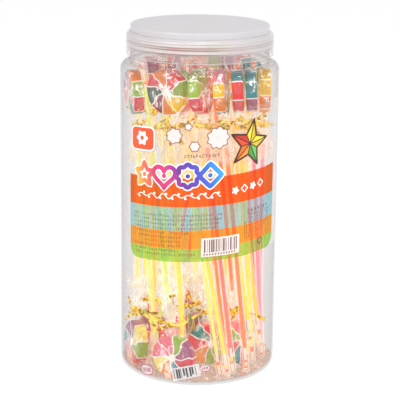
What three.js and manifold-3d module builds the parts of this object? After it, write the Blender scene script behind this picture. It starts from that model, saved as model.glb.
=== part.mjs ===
// A shut, clear screw-top jar filled with wrapped pinwheel lollipops.
// Millimetres, +Z up. The origin is the centre of the jar's foot, and -Y is the front, where the label is.
import * as THREE from "three";
import { mergeVertices } from "three/addons/utils/BufferGeometryUtils.js";
import Module from "manifold-3d";

// Jar
const BODY_RADIUS = 62.5;
const WALL = 1.0;
const BASE = 1.6;
const HEEL_RADIUS = 6;
const PUSH_UP_RADIUS = 38; // the middle of the base stands clear of the floor
const PUSH_UP = 3;
const PUSH_UP_SLOPE = 4;
const SHOULDER_Z = 243.5; // where the straight wall ends
const SHOULDER_RADIUS = 6;
const NECK_RADIUS = 54.4;
const NECK_TOP = 271.0;
const THREAD_RADIUS = 1.1;
const THREAD_LOW = 257.5;
const THREAD_PITCH = 5;
const THREAD_TURNS = 1.6;
const THREAD_SIDES = 5;
const THREAD_STEPS = 30;
const JAR_SIDES = 48;
const ARC_STEPS = 4;

// Lid
const LID_RADIUS = 57.6;
const LID_WALL = 1.1;
const LID_LOW = 255.0;
const LID_STEP_Z = 272.6; // top of the skirt, where the raised middle starts
const LID_STEP_ROUND = 3;
const LID_TOP_RADIUS = 54.3;
const LID_HEIGHT = 278.2;
const LID_TOP_ROUND = 1;

// Label: a thin film wrapped round the front, its print running slightly uphill to the right
const LABEL_GAP = 0.3;
const LABEL_THICKNESS = 0.3;
const LABEL_FROM = -61; // degrees round the jar, 0 at the front
const LABEL_TO = 73;
const LABEL_LOW = 103.5; // at the front
const LABEL_HIGH = 220;
const LABEL_RISE = 3.4; // degrees
const LABEL_COLUMNS = 26;

// Lollipop, measured from the middle of its candy disc
const DISC_RADIUS = 18;
const DISC_THICKNESS = 9.8; // with its film
const DISC_BEVEL = 1.6;
const DISC_SIDES = 12;
const TIE_AT = 27; // where the twist tie gathers the film round the stick
const TIE_RADIUS = 3.4;
const TENT_TOP = 8; // the film narrows from here to the tie
const TENT_HALF_WIDTH = 15.5;
const TENT_HALF_DEPTH = 4.7;
const SKIRT_AT = 54; // the loose end of the film
const SKIRT_RADIUS = 7.5;
const STICK_RADIUS = 2.75;
const STICK_LENGTH = 228; // to the stick's far end, give or take
const STICK_SPREAD = 3;
const STEM_SIDES = 8;

// How the lollipops stand in the jar
const HEADS_UP = 19;
const HEADS_DOWN = 15;
const TWIST = 32; // degrees that the whole bundle is twisted from bottom to top
const LIFT = 16; // the most that one lollipop stands above its lowest place
const CLEARANCE = 0.32;
const SEED = 2;
const SWEEPS = 2300;
const LAST_SWEEPS = 200;
const TRIES = 6; // moves tried for one lollipop in one sweep
// Those at the front, as x and y of the disc's middle, the way it faces in degrees from the front, and for some
// where the stick's tip stands and how far the lollipop is lifted
const FRONT_UP = [
  { x: -46, y: -17.5, face: -52, tip: [-33, -14], stick: 221 },
  { x: -20, y: -43.3, face: -42, tip: [-4, -36] },
  { x: 3.5, y: -41.8, face: -88, tip: [33, -43.5] },
  { x: 14.6, y: -40, face: -88, tip: [40, -38] },
  { x: 26, y: -34.3, face: -88, tip: [44, -24] },
  { x: 37, y: -24.5, face: -88, tip: [50.5, -12] },
  { x: 47.4, y: -11, face: -88, tip: [54, 0] },
  { x: -14, y: -32.5, face: -42, tip: [12.5, -54] },
  { x: -12, y: -17, face: -48, tip: [22.5, -50] },
  { x: 1, y: -5, face: -80, tip: [28, -46.8] },
  { x: 14, y: -5, face: -85, tip: [45, -33], lift: 22 },
  { x: 24.5, y: 2, face: -85, tip: [49.5, -25], lift: 19 },
  { x: 34, y: 11, face: -85, tip: [54, -17], lift: 13 },
];
const FRONT_DOWN = [
  { x: -45.5, y: -23, face: -52 },
  { x: -14, y: -49, face: -18 },
  { x: 11, y: -28, face: 20 },
  { x: 36.5, y: -20, face: 55 },
];

const wasm = await Module();
wasm.setup();

// ---- solids

function solid(geometry) {
  const bare = geometry.index ? geometry.toNonIndexed() : geometry.clone();
  bare.deleteAttribute("normal");
  bare.deleteAttribute("uv");
  const merged = mergeVertices(bare, 1e-4);
  return new wasm.Manifold(
    new wasm.Mesh({
      numProp: 3,
      vertProperties: new Float32Array(merged.attributes.position.array),
      triVerts: new Uint32Array(merged.index.array),
    }),
  );
}

function surface(manifold) {
  const mesh = manifold.getMesh();
  const geometry = new THREE.BufferGeometry();
  geometry.setAttribute("position", new THREE.BufferAttribute(new Float32Array(mesh.vertProperties), 3));
  geometry.setIndex(new THREE.BufferAttribute(new Uint32Array(mesh.triVerts), 1));
  return geometry;
}

// A profile of [radius, z] points, turned round the Z axis.
function turned(profile, sides) {
  const points = profile.map(([radius, z]) => new THREE.Vector2(radius, z));
  return new THREE.LatheGeometry(points, sides).rotateX(Math.PI / 2);
}

// Points of a round corner, from one angle to another, in degrees.
function arc(radius, z, round, from, to, steps = ARC_STEPS) {
  return Array.from({ length: steps + 1 }, (_, k) => {
    const angle = THREE.MathUtils.degToRad(from + ((to - from) * k) / steps);
    return [radius + round * Math.cos(angle), z + round * Math.sin(angle)];
  });
}

class Helix extends THREE.Curve {
  getPoint(t, target = new THREE.Vector3()) {
    const angle = t * THREAD_TURNS * 2 * Math.PI;
    const z = THREAD_LOW + t * THREAD_TURNS * THREAD_PITCH;
    return target.set(NECK_RADIUS * Math.cos(angle), NECK_RADIUS * Math.sin(angle), z);
  }
}

function jarGeometry() {
  const inner = BODY_RADIUS - WALL;
  const innerHeel = HEEL_RADIUS - WALL;
  const foot = BODY_RADIUS - HEEL_RADIUS;
  const innerFoot = inner - innerHeel;
  const profile = [
    [0, PUSH_UP],
    [PUSH_UP_RADIUS, PUSH_UP],
    [PUSH_UP_RADIUS + PUSH_UP_SLOPE, 0],
    ...arc(foot, HEEL_RADIUS, HEEL_RADIUS, -90, 0),
    ...arc(BODY_RADIUS - SHOULDER_RADIUS, SHOULDER_Z, SHOULDER_RADIUS, 0, 90),
    [NECK_RADIUS, SHOULDER_Z + SHOULDER_RADIUS],
    [NECK_RADIUS, NECK_TOP],
    [NECK_RADIUS - WALL, NECK_TOP],
    [NECK_RADIUS - WALL, SHOULDER_Z + SHOULDER_RADIUS - WALL],
    ...arc(inner - innerHeel, SHOULDER_Z, innerHeel, 90, 0),
    ...arc(innerFoot, BASE + innerHeel, innerHeel, 0, -90),
    [PUSH_UP_RADIUS + PUSH_UP_SLOPE, BASE],
    [PUSH_UP_RADIUS, PUSH_UP + BASE],
    [0, PUSH_UP + BASE],
  ];
  const corners = Array.from({ length: THREAD_SIDES }, (_, k) => {
    const angle = (2 * Math.PI * k) / THREAD_SIDES;
    return new THREE.Vector2(THREAD_RADIUS * Math.cos(angle), THREAD_RADIUS * Math.sin(angle));
  });
  const section = new THREE.Shape(corners);
  const thread = new THREE.ExtrudeGeometry(section, { extrudePath: new Helix(), steps: THREAD_STEPS });
  return surface(solid(turned(profile, JAR_SIDES)).add(solid(thread)));
}

function lidGeometry() {
  const stepRadius = LID_RADIUS - LID_STEP_ROUND;
  const stepZ = LID_STEP_Z - LID_STEP_ROUND;
  const topRadius = LID_TOP_RADIUS - LID_TOP_ROUND;
  const innerRound = LID_STEP_ROUND - LID_WALL;
  return turned(
    [
      [LID_RADIUS - LID_WALL, LID_LOW],
      [LID_RADIUS, LID_LOW],
      ...arc(stepRadius, stepZ, LID_STEP_ROUND, 0, 75, 3),
      [LID_TOP_RADIUS, LID_STEP_Z],
      ...arc(topRadius, LID_HEIGHT - LID_TOP_ROUND, LID_TOP_ROUND, 0, 90, 2),
      [0, LID_HEIGHT],
      [0, LID_HEIGHT - LID_WALL],
      [LID_TOP_RADIUS - LID_WALL, LID_HEIGHT - LID_WALL],
      [LID_TOP_RADIUS - LID_WALL, LID_STEP_Z - LID_WALL],
      ...arc(stepRadius, stepZ, innerRound, 75, 0, 2),
      [LID_RADIUS - LID_WALL, LID_LOW],
    ],
    JAR_SIDES,
  );
}

// The label is a flat grid bent round the jar: two faces and the edge between them.
function labelGeometry() {
  const inner = BODY_RADIUS + LABEL_GAP;
  const slope = Math.tan(THREE.MathUtils.degToRad(LABEL_RISE)) * inner;
  const positions = [];
  for (let k = 0; k <= LABEL_COLUMNS; k++) {
    const degrees = LABEL_FROM + ((LABEL_TO - LABEL_FROM) * k) / LABEL_COLUMNS;
    const angle = THREE.MathUtils.degToRad(degrees);
    for (const radius of [inner, inner + LABEL_THICKNESS]) {
      for (const z of [LABEL_LOW, LABEL_HIGH]) {
        positions.push(radius * Math.sin(angle), -radius * Math.cos(angle), z + slope * angle);
      }
    }
  }
  const faces = [];
  const quad = (a, b, c, d) => faces.push(a, b, c, a, c, d);
  for (let k = 0; k < LABEL_COLUMNS; k++) {
    const [a, b, c, d] = [4 * k, 4 * k + 1, 4 * k + 2, 4 * k + 3]; // inner low, inner high, outer low, outer high
    quad(c, c + 4, d + 4, d);
    quad(a, b, b + 4, a + 4);
    quad(b, d, d + 4, b + 4);
    quad(a, a + 4, c + 4, c);
  }
  const last = 4 * LABEL_COLUMNS;
  quad(0, 2, 3, 1);
  quad(last, last + 1, last + 3, last + 2);
  const geometry = new THREE.BufferGeometry();
  geometry.setAttribute("position", new THREE.Float32BufferAttribute(positions, 3));
  geometry.setIndex(faces);
  return geometry;
}

// The candy disc in its film faces along X. The film narrows to the tie, and the stick runs down along -Z.
function lollipopGeometry(stick) {
  const half = DISC_THICKNESS / 2;
  const disc = turned(
    [
      [0, -half],
      [DISC_RADIUS - DISC_BEVEL, -half],
      [DISC_RADIUS, DISC_BEVEL - half],
      [DISC_RADIUS, half - DISC_BEVEL],
      [DISC_RADIUS - DISC_BEVEL, half],
      [0, half],
    ],
    DISC_SIDES,
  ).rotateY(Math.PI / 2);
  const tentHeight = TIE_AT - TENT_TOP;
  const tent = new THREE.CylinderGeometry(TENT_HALF_WIDTH, TIE_RADIUS, tentHeight, STEM_SIDES)
    .rotateX(Math.PI / 2)
    .scale(TENT_HALF_DEPTH / TENT_HALF_WIDTH, 1, 1)
    .translate(0, 0, -(TENT_TOP + TIE_AT) / 2);
  const stem = turned(
    [
      [0, -stick],
      [STICK_RADIUS, -stick],
      [STICK_RADIUS, -SKIRT_AT],
      [SKIRT_RADIUS, -SKIRT_AT],
      [TIE_RADIUS, -TIE_AT],
      [STICK_RADIUS, -TENT_TOP],
      [0, -TENT_TOP],
    ],
    STEM_SIDES,
  );
  return surface(solid(disc).add(solid(tent)).add(solid(stem)));
}

// ---- how the lollipops settle

// A lollipop is three convex pieces, each the hull of two or three circles: the head with its film down to
// the tie, the skirt, and the stick. Two pieces are clear of each other if some direction separates them.

let state = SEED;
function random() {
  state = (state * 1664525 + 1013904223) % 4294967296;
  return state / 4294967296;
}

const spread = (width) => (random() + random() - 1) * width;
const radians = THREE.MathUtils.degToRad;
const dot = (a, b) => a[0] * b[0] + a[1] * b[1] + a[2] * b[2];
const minus = (a, b) => [a[0] - b[0], a[1] - b[1], a[2] - b[2]];
const moved = (a, step, b) => [a[0] + step * b[0], a[1] + step * b[1], a[2] + step * b[2]];
const cross = (a, b) => [a[1] * b[2] - a[2] * b[1], a[2] * b[0] - a[0] * b[2], a[0] * b[1] - a[1] * b[0]];
const squared = (a, normal) => moved(a, -dot(a, normal), normal);
const reversed = (a) => [-a[0], -a[1], -a[2]];

function unit(a) {
  const length = Math.hypot(a[0], a[1], a[2]);
  return length < 1e-9 ? null : [a[0] / length, a[1] / length, a[2] / length];
}

function twisted(x, y, degrees, scale) {
  const cos = scale * Math.cos(radians(degrees));
  const sin = scale * Math.sin(radians(degrees));
  return { x: x * cos - y * sin, y: x * sin + y * cos };
}

// Works out where a lollipop's disc, stick tip and pieces are, at a size from 0 to 1 of the full one.
function place(lolly, size) {
  const { head, tip, up } = lolly;
  const rise = Math.sqrt(lolly.stick ** 2 - (head.x - tip.x) ** 2 - (head.y - tip.y) ** 2);
  const lowest = BASE + CLEARANCE + (up ? 0.3 : DISC_RADIUS + 0.3) + lolly.lift;
  lolly.hub = [head.x, head.y, up ? lowest + rise : lowest];
  lolly.end = [tip.x, tip.y, up ? lowest : lowest + rise];
  const along = unit(minus(lolly.end, lolly.hub));
  const facing = [Math.sin(radians(lolly.face)), -Math.cos(radians(lolly.face)), 0];
  const normal = unit(squared(facing, along));
  const circle = (centre, radius, axis) => ({ centre, radius, axis });
  const half = (DISC_THICKNESS / 2) * size;
  const tie = circle(moved(lolly.hub, TIE_AT, along), TIE_RADIUS, along);
  const skirt = moved(lolly.hub, SKIRT_AT, along);
  lolly.along = along;
  lolly.normal = normal;
  lolly.pieces = [
    {
      axis: normal,
      centre: lolly.hub,
      around: TIE_AT + TIE_RADIUS,
      circles: [
        circle(moved(lolly.hub, half, normal), DISC_RADIUS * size, normal),
        circle(moved(lolly.hub, -half, normal), DISC_RADIUS * size, normal),
        tie,
      ],
    },
    {
      axis: along,
      centre: moved(lolly.hub, (TIE_AT + SKIRT_AT) / 2, along),
      around: SKIRT_AT - TIE_AT,
      circles: [tie, circle(skirt, SKIRT_RADIUS * size, along)],
    },
    {
      axis: along,
      centre: moved(lolly.hub, (SKIRT_AT + lolly.stick) / 2, along),
      around: (lolly.stick - SKIRT_AT) / 2 + STICK_RADIUS,
      circles: [circle(skirt, STICK_RADIUS, along), circle(lolly.end, STICK_RADIUS, along)],
    },
  ];
}

// How far a piece reaches in one direction.
function reach(piece, direction) {
  let most = -Infinity;
  for (const { centre, radius, axis } of piece.circles) {
    const cos = dot(axis, direction);
    most = Math.max(most, dot(centre, direction) + radius * Math.sqrt(Math.max(0, 1 - cos * cos)));
  }
  return most;
}

function gapBetween(a, b) {
  const apart = minus(b.centre, a.centre);
  if (Math.hypot(...apart) > a.around + b.around + CLEARANCE) return CLEARANCE;
  let widest = -Infinity;
  const directions = [apart, squared(apart, a.axis), squared(apart, b.axis), a.axis, b.axis, cross(a.axis, b.axis)];
  for (const direction of directions) {
    let way = unit(direction);
    if (!way) continue;
    if (dot(way, apart) < 0) way = reversed(way);
    widest = Math.max(widest, -reach(b, reversed(way)) - reach(a, way));
    if (widest >= CLEARANCE) return CLEARANCE;
  }
  return widest;
}

// The jar's inside: how far a piece may reach outwards, down into the heel and up into the shoulder.
const INSIDE = (BODY_RADIUS - WALL) * Math.cos(Math.PI / JAR_SIDES) - CLEARANCE;
const NECK_INSIDE = (NECK_RADIUS - WALL) * Math.cos(Math.PI / JAR_SIDES) - CLEARANCE;
const DIAGONAL = Math.SQRT1_2;
const WALL_WAYS = 32;
const WALLS = [];
for (let k = 0; k < WALL_WAYS; k++) {
  const angle = (k * 2 * Math.PI) / WALL_WAYS;
  const [x, y] = [Math.cos(angle), Math.sin(angle)];
  const heel = (INSIDE - BASE - 2 * HEEL_RADIUS + WALL) * DIAGONAL + HEEL_RADIUS - WALL - CLEARANCE;
  const shoulder = (NECK_INSIDE + SHOULDER_Z + SHOULDER_RADIUS - WALL) * DIAGONAL - CLEARANCE;
  WALLS.push({ way: [x, y, 0], most: INSIDE });
  WALLS.push({ way: [x * DIAGONAL, y * DIAGONAL, -DIAGONAL], most: heel });
  WALLS.push({ way: [x * DIAGONAL, y * DIAGONAL, DIAGONAL], most: shoulder });
}
WALLS.push({ way: [0, 0, -1], most: -BASE - CLEARANCE });
WALLS.push({ way: [0, 0, 1], most: NECK_TOP - WALL });

function outside(lolly) {
  let sum = 0;
  for (const piece of lolly.pieces) {
    for (const { way, most } of WALLS) {
      if (dot(piece.centre, way) + piece.around > most) sum += Math.max(0, reach(piece, way) - most) ** 2;
    }
  }
  if (!lolly.up) {
    // a stick's tip stands in the neck, which is narrower, and a disc clears the middle of the base
    const neck = Math.hypot(lolly.end[0], lolly.end[1]) + STICK_RADIUS - NECK_INSIDE;
    sum += Math.max(0, neck) ** 2;
  }
  const lowest = -reach(lolly.up ? lolly.pieces[2] : lolly.pieces[0], [0, 0, -1]);
  const middle = lolly.up ? lolly.end : lolly.hub;
  const overPushUp = Math.hypot(middle[0], middle[1]) < PUSH_UP_RADIUS + PUSH_UP_SLOPE + 2 * STICK_RADIUS;
  if (overPushUp) sum += Math.max(0, BASE + PUSH_UP + CLEARANCE - lowest) ** 2;
  return sum;
}

function overlap(lolly, all) {
  let sum = outside(lolly);
  for (const other of all) {
    if (other === lolly) continue;
    for (const a of lolly.pieces) {
      for (const b of other.pieces) sum += (CLEARANCE - gapBetween(a, b)) ** 2;
    }
  }
  return sum;
}

// How far a lollipop has strayed from its place at the front and from the bundle's twist.
function strayed(lolly) {
  const ideal = twisted(lolly.head.x, lolly.head.y, lolly.up ? TWIST : -TWIST, 1);
  const lean = Math.hypot(ideal.x - lolly.tip.x, ideal.y - lolly.tip.y);
  const { home } = lolly;
  let sum = home?.tip ? 0 : 0.02 * Math.max(0, lean - 9) ** 2;
  if (home) {
    const off = Math.hypot(lolly.head.x - home.x, lolly.head.y - home.y);
    sum += 0.5 * Math.max(0, off - 0.5) ** 2 + 0.006 * (lolly.face - home.face) ** 2;
  }
  if (home?.tip) {
    const off = Math.hypot(lolly.tip.x - home.tip[0], lolly.tip.y - home.tip[1]);
    sum += 0.25 * Math.max(0, off - 0.5) ** 2 + 0.03 * (lolly.lift - (home.lift ?? 2)) ** 2;
  }
  return sum;
}

function startingPlaces() {
  const all = [];
  const add = (up, x, y, face, home) => {
    const [tipX, tipY] = home?.tip ?? [];
    const tip = home?.tip ? { x: tipX, y: tipY } : twisted(x, y, up ? TWIST : -TWIST, 1 + spread(0.12));
    const stick = home?.stick ?? STICK_LENGTH + spread(STICK_SPREAD);
    all.push({ up, head: { x, y }, tip, face, lift: home?.lift ?? random() * 6, home, stick });
  };
  for (const home of FRONT_UP) add(true, home.x, home.y, home.face, home);
  for (const home of FRONT_DOWN) add(false, home.x, home.y, home.face, home);
  for (const [up, count] of [[true, HEADS_UP], [false, HEADS_DOWN]]) {
    let apart = 16; // relaxed a little after each place that is too near another
    while (all.filter((lolly) => lolly.up === up).length < count) {
      const radius = 44 * Math.sqrt(random());
      const angle = 2 * Math.PI * random();
      const [x, y] = [radius * Math.sin(angle), -radius * Math.cos(angle)];
      const near = all.some((lolly) => lolly.up === up && Math.hypot(lolly.head.x - x, lolly.head.y - y) < apart);
      if (!near) add(up, x, y, -90 + spread(30), null);
      apart -= 0.01;
    }
  }
  return all;
}

// The discs grow from part of their size to all of it while each lollipop is nudged at random, and a nudge
// is kept if it makes less overlap. Early on, some that make slightly more are kept too.
function settled() {
  const all = startingPlaces();
  for (let sweep = 0; sweep < SWEEPS + LAST_SWEEPS; sweep++) {
    const done = Math.min(1, sweep / SWEEPS);
    const size = Math.min(1, 0.6 + 0.6 * done);
    const step = 4 * Math.pow(1 - done, 1.5) + 0.15;
    const heat = 0.003 * Math.max(0, 1 - 1.25 * done);
    const hold = Math.max(0, 1 - 1.5 * done);
    for (const lolly of all) place(lolly, size);
    if (size === 1 && all.every((lolly) => overlap(lolly, all) < 1e-9)) break;
    for (const lolly of all) {
      let cost = overlap(lolly, all);
      if (size === 1 && cost < 1e-9) continue;
      cost += hold * strayed(lolly);
      for (let k = 0; k < TRIES; k++) {
        const before = { head: { ...lolly.head }, tip: { ...lolly.tip }, face: lolly.face, lift: lolly.lift };
        const reachOut = random() < 0.15 ? 3 * step : step;
        const what = random();
        if (what < 0.7) lolly.head = { x: lolly.head.x + spread(reachOut), y: lolly.head.y + spread(reachOut) };
        if (what > 0.4) lolly.tip = { x: lolly.tip.x + spread(reachOut), y: lolly.tip.y + spread(reachOut) };
        if (random() < 0.5) lolly.face += spread(3 * reachOut);
        const most = lolly.home?.lift ? lolly.home.lift + 3 : LIFT;
        if (random() < 0.4) lolly.lift = Math.min(most, Math.max(0, lolly.lift + spread(step)));
        place(lolly, size);
        const now = overlap(lolly, all) + hold * strayed(lolly);
        if (now <= cost - heat * Math.log(1 - random())) {
          cost = now;
        } else {
          Object.assign(lolly, before);
          place(lolly, size);
        }
      }
    }
  }
  return all;
}

// ---- the object

const clearPlastic = new THREE.MeshStandardMaterial({
  color: 0xe9eaec,
  roughness: 0.12,
  metalness: 0,
  transparent: true,
  opacity: 0.35,
});
const lidPlastic = new THREE.MeshStandardMaterial({ color: 0xe2e3e6, roughness: 0.4, metalness: 0 });
const printedFilm = new THREE.MeshStandardMaterial({ color: 0xf08a3c, roughness: 0.35, metalness: 0 });
const CANDY_COLOURS = [0xe8a24a, 0xa9b552, 0xd9606b, 0x4fa3a0, 0xe6c84e, 0xb56a86];

function piece(name, geometry, material) {
  const mesh = new THREE.Mesh(geometry, material);
  mesh.name = name;
  return mesh;
}

function lollipop(name, lolly, material) {
  const mesh = piece(name, lollipopGeometry(lolly.stick), material);
  const across = new THREE.Vector3(...lolly.normal);
  const upward = new THREE.Vector3(...reversed(lolly.along));
  const side = new THREE.Vector3().crossVectors(upward, across);
  mesh.quaternion.setFromRotationMatrix(new THREE.Matrix4().makeBasis(across, side, upward));
  mesh.position.set(...lolly.hub);
  return mesh;
}

const jarOfLollipops = new THREE.Group();
jarOfLollipops.add(piece("jar", jarGeometry(), clearPlastic));
jarOfLollipops.add(piece("lid", lidGeometry(), lidPlastic));
jarOfLollipops.add(piece("label", labelGeometry(), printedFilm));

const heads = { up: 0, down: 0 };
for (const lolly of settled()) {
  const way = lolly.up ? "up" : "down";
  heads[way] += 1;
  const name = `lollipop_${way}_${String(heads[way]).padStart(2, "0")}`;
  const colour = CANDY_COLOURS[(heads.up + heads.down) % CANDY_COLOURS.length];
  const candy = new THREE.MeshStandardMaterial({ color: colour, roughness: 0.3, metalness: 0 });
  jarOfLollipops.add(lollipop(name, lolly, candy));
}

export default jarOfLollipops;
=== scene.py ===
"""A shut clear jar filled with wrapped pinwheel lollipops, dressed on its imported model.

+Z is up and -Y is the front, where the label is. Sizes are in millimetres, which mesh_piece() turns into
metres. Only the floor, the lamps and the nodes are in metres. A lollipop's own frame has its candy disc's
middle at the origin, X along the way the disc faces, and its stick running along -Z.
"""
import math

import bmesh
import bpy
import numpy as np
from mathutils import Matrix, Vector


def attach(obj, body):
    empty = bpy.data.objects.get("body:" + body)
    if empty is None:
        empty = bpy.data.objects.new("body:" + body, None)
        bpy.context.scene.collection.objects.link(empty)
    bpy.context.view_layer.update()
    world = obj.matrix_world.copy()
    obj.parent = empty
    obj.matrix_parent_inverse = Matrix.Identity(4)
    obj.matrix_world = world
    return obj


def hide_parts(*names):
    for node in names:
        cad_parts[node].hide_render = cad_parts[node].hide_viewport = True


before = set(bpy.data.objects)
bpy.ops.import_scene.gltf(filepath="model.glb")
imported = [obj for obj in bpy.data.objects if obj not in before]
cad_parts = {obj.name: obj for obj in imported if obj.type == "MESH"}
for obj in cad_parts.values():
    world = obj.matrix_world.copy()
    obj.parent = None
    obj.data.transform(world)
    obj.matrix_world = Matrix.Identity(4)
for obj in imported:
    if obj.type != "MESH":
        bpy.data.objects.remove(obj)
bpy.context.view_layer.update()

MM = 0.001
BODY = "root"
FULL_TURN = 2 * math.pi
LOLLIPOPS = sorted(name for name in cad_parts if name.startswith("lollipop"))
draw = np.random.default_rng(41)

# Jar
BODY_RADIUS = 62.5
WALL = 1.0
BASE = 1.6
HEEL_RADIUS = 6
PUSH_UP_RADIUS = 38
PUSH_UP = 3
PUSH_UP_SLOPE = 4
FOOT_INSIDE = PUSH_UP_RADIUS + PUSH_UP_SLOPE
SHOULDER_Z = 243.5
SHOULDER_RADIUS = 6
NECK_RADIUS = 54.4
NECK_TOP = 271.0
NECK_BEAD_Z = 251.6
NECK_BEAD = 1.0
THREAD_RADIUS = 1.1
THREAD_LOW = 257.5
THREAD_PITCH = 5
THREAD_TURNS = 1.6
JAR_SIDES = 160
# Fine raised lines round the neck: how far out from it and how high, and half their thickness
NECK_LINES = [(0.1, 255.4), (0.1, 254.0), (0.1, 252.9), (0.2, 250.2), (2.0, 249.4), (4.6, 248.6)]
NECK_LINE_HALF = 0.3

# Lid
LID_RADIUS = 57.6
LID_WALL = 1.1
LID_LOW = 255.0
LID_STEP_Z = 272.6
LID_STEP_ROUND = 3
LID_TOP_RADIUS = 54.3
LID_HEIGHT = 278.2
LID_TOP_ROUND = 1
SEAL_Z = 271.7
SEAL_RADIUS = 54.6

# Label, in millimetres along the wall from the front and up from the foot
LABEL_RADIUS = 62.8
LABEL_THICKNESS = 0.3
LABEL_FROM_DEGREES = -61
LABEL_TO_DEGREES = 73
LABEL_LOW = 103.5
LABEL_HIGH = 220
LABEL_RISE_DEGREES = 3.4
PRINT_RADIUS = LABEL_RADIUS + LABEL_THICKNESS
INK_THICKNESS = 0.03
PLATE_GAP = 0.02
PLATE_STEP = 0.05
BAND_LEFT = -62.3
BAND_RIGHT = 72.8
BAND_CORNER = 9
BAND_EDGES = [169.7, 147.0, 128.4, 114.0, 103.5]

# Lollipop
DISC_RADIUS = 18
DISC_THICKNESS = 9.8
FILM_ROOM = 0.45
CANDY_ROUND = 0.9
CANDY_CROWN = 0.3
HUB_RADIUS = 3.1
LINE_HALF = 0.5
WEDGES = 8
TIE_AT = 27
TIE_RADIUS = 3.4
TIE_HALF_THICKNESS = 0.25
TIE_HALF_WIDTH = 1.7
TENT_TOP = 8
SKIRT_AT = 54
SKIRT_RADIUS = 7.5
STICK_RADIUS = 2.7
CORE_RADIUS = 1.5
CLEAR_TIP = 19
CORE_FROM = 44
TIP_FILL_RADIUS = 1.1
BEADS = 3
BEAD_RADIUS = TIP_FILL_RADIUS + 0.15
BEAD_HALF = 0.8
FILM_CRINKLE = 0.65
INSIDE_JAR = BODY_RADIUS - WALL - 0.3
NECK_INSIDE = NECK_RADIUS - WALL - 0.6

# Painted glow: the candy and the stick cores give off these shares of their own colour as light, standing in
# for light scattered inside them.
CANDY_GLOW = 0.24
CORE_GLOW = 0.55


# ---- colours

def linear(red, green, blue):
    """A colour as a screen shows it, 0 to 255, as the light it stands for."""
    shares = [c / 255 for c in (red, green, blue)]
    return (*(c / 12.92 if c <= 0.04045 else ((c + 0.055) / 1.055) ** 2.4 for c in shares), 1.0)


WHITE = linear(250, 247, 242)
PAPER = linear(252, 250, 247)
PURE = (1, 1, 1, 1)
TIP_FILL = linear(240, 224, 212)
PINK_MARK = linear(222, 46, 98)
OUTLINE = linear(74, 40, 34)
CANDY = {name: linear(*tone) for name, tone in {
    "orange": (236, 130, 4), "red": (228, 36, 30), "pink_red": (224, 62, 76), "pink": (236, 118, 134),
    "olive": (148, 166, 34), "green": (154, 182, 44), "yellow": (240, 190, 0), "cream": (240, 222, 120),
    "teal": (40, 138, 138), "mauve": (170, 84, 122), "maroon": (146, 50, 58), "grey": (134, 116, 138),
    "dark": (74, 88, 70), "salmon": (236, 112, 92), "peach": (244, 158, 72),
}.items()}
CORE = {name: linear(*tone) for name, tone in {
    "yellow": (250, 226, 36), "gold": (252, 210, 44), "orange": (254, 130, 48), "coral": (252, 112, 104),
    "pink": (252, 148, 184), "lime": (226, 236, 136), "cream": (250, 232, 150),
}.items()}


# ---- meshes

class Heap:
    """The points, faces and colours of many small things that become one piece."""

    def __init__(self):
        self.points, self.faces, self.colours, self.own = [], [], [], []
        self.start, self.count = 0, 0

    def add(self, points, faces, colour=WHITE, own=None):
        """Adds points, and faces as corner numbers. own is the points' places in their own thing."""
        points = np.asarray(points, float).reshape(-1, 3)
        self.points.append(points)
        self.own.append(points if own is None else np.asarray(own, float).reshape(-1, 3))
        self.start = self.count
        self.count += len(points)
        self.more(faces, colour)

    def more(self, faces, colour=WHITE):
        """Adds faces on the last points. colour is one colour, or one for each face."""
        faces, colour = np.asarray(faces, int), np.asarray(colour, float)
        if colour.ndim == 1:
            colour = np.tile(colour, (len(faces), 1))
        self.faces.append(faces + self.start)
        self.colours.append(colour)

    def add_mixed(self, points, faces, colour=WHITE, own=None):
        """As add, for faces of differing numbers of corners."""
        by_size = {}
        for face in faces:
            by_size.setdefault(len(face), []).append(face)
        first, *others = by_size.values()
        self.add(points, first, colour, own)
        for same in others:
            self.more(same, colour)


SLOTS = {"jar": "jar_plastic", "lid": "lid_plastic", "label": "label_film"}


def mesh_piece(name, heap, material, replaced, sharp=None, weld=False):
    """One object from a heap, in place of the node replaced, or of every lollipop if that is "candy".

    "tint" keeps its colours, and "own" each point's place in its own thing.
    """
    mesh = bpy.data.meshes.new(name)
    points = np.concatenate(heap.points) * MM
    faces = [tuple(int(i) for i in face) for part in heap.faces for face in part]
    mesh.from_pydata(points.tolist(), [], faces)
    tint = mesh.attributes.new("tint", "FLOAT_COLOR", "CORNER")
    sizes = np.array([len(face) for face in faces])
    tint.data.foreach_set("color", np.repeat(np.concatenate(heap.colours), sizes, axis=0).ravel())
    own = mesh.attributes.new("own", "FLOAT_VECTOR", "POINT")
    own.data.foreach_set("vector", (np.concatenate(heap.own) * MM).ravel())
    if weld:
        work = bmesh.new()
        work.from_mesh(mesh)
        bmesh.ops.remove_doubles(work, verts=work.verts, dist=1e-6)
        bmesh.ops.dissolve_degenerate(work, edges=work.edges, dist=1e-7)
        bmesh.ops.recalc_face_normals(work, faces=work.faces)
        work.to_mesh(mesh)
        work.free()
    mesh.shade_smooth()
    if sharp is not None:
        mesh.set_sharp_from_angle(angle=math.radians(sharp))
    mesh.materials.append(material)
    piece = bpy.data.objects.new(name, mesh)
    bpy.context.scene.collection.objects.link(piece)
    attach(piece, BODY)
    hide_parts(*([replaced] if replaced in SLOTS else LOLLIPOPS))


def round_angles(count):
    return np.linspace(0, FULL_TURN, count, endpoint=False)


def round_section(sides):
    """Points of a circle of radius 1."""
    around = round_angles(sides)
    return np.stack([np.cos(around), np.sin(around)], -1)


def level_ways(angle):
    """Level directions at angles about the axis, anticlockwise from X."""
    return np.stack([np.cos(angle), np.sin(angle), 0 * angle], -1)


def unit(vector):
    return vector / np.linalg.norm(vector)


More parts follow.
